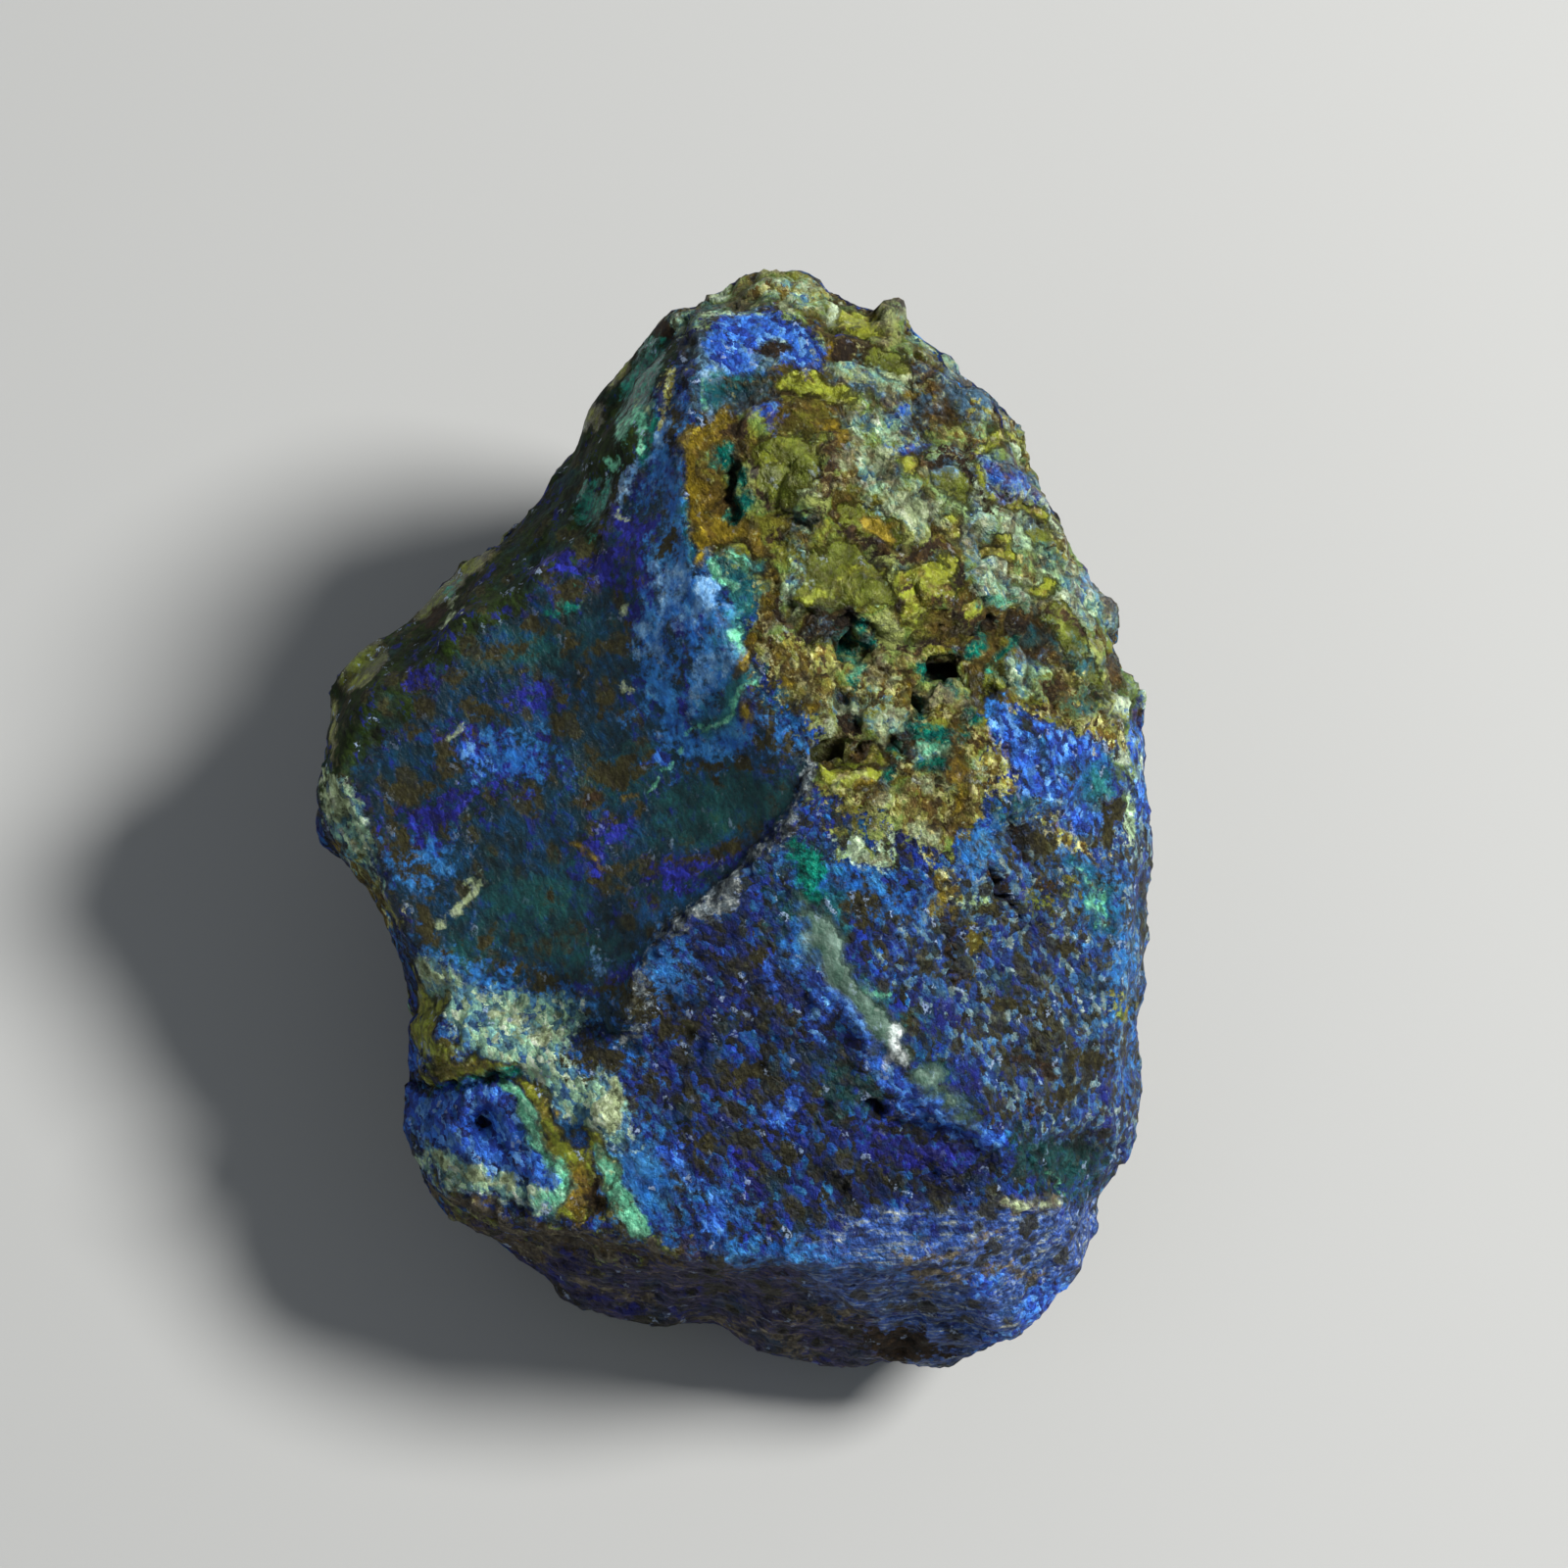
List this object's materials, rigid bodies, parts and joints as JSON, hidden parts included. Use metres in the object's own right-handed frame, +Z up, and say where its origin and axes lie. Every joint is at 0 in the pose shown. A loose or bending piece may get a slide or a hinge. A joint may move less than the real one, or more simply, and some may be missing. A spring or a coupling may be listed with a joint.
{
  "type": "azurite and malachite specimen",
  "caption": "Broken hand-size lump of mottled blue and green copper ore with sharp fracture faces, a pitted crest and a flat face to rest on.",
  "frame": {"origin": "centre of the bounding box in plan, on the surface that the stone rests on", "axes": "+Z up, away from the flat resting face; +Y along the stone's longest side, towards the end that is the top in the picture; +X to the right as the picture shows it"},
  "size_m": [0.0416, 0.052, 0.0289],
  "materials": {
    "azurite_malachite": "matte"
  },
  "bodies": {
    "root": {"azurite_malachite_stone": "azurite_malachite"}
  },
  "joints": []
}
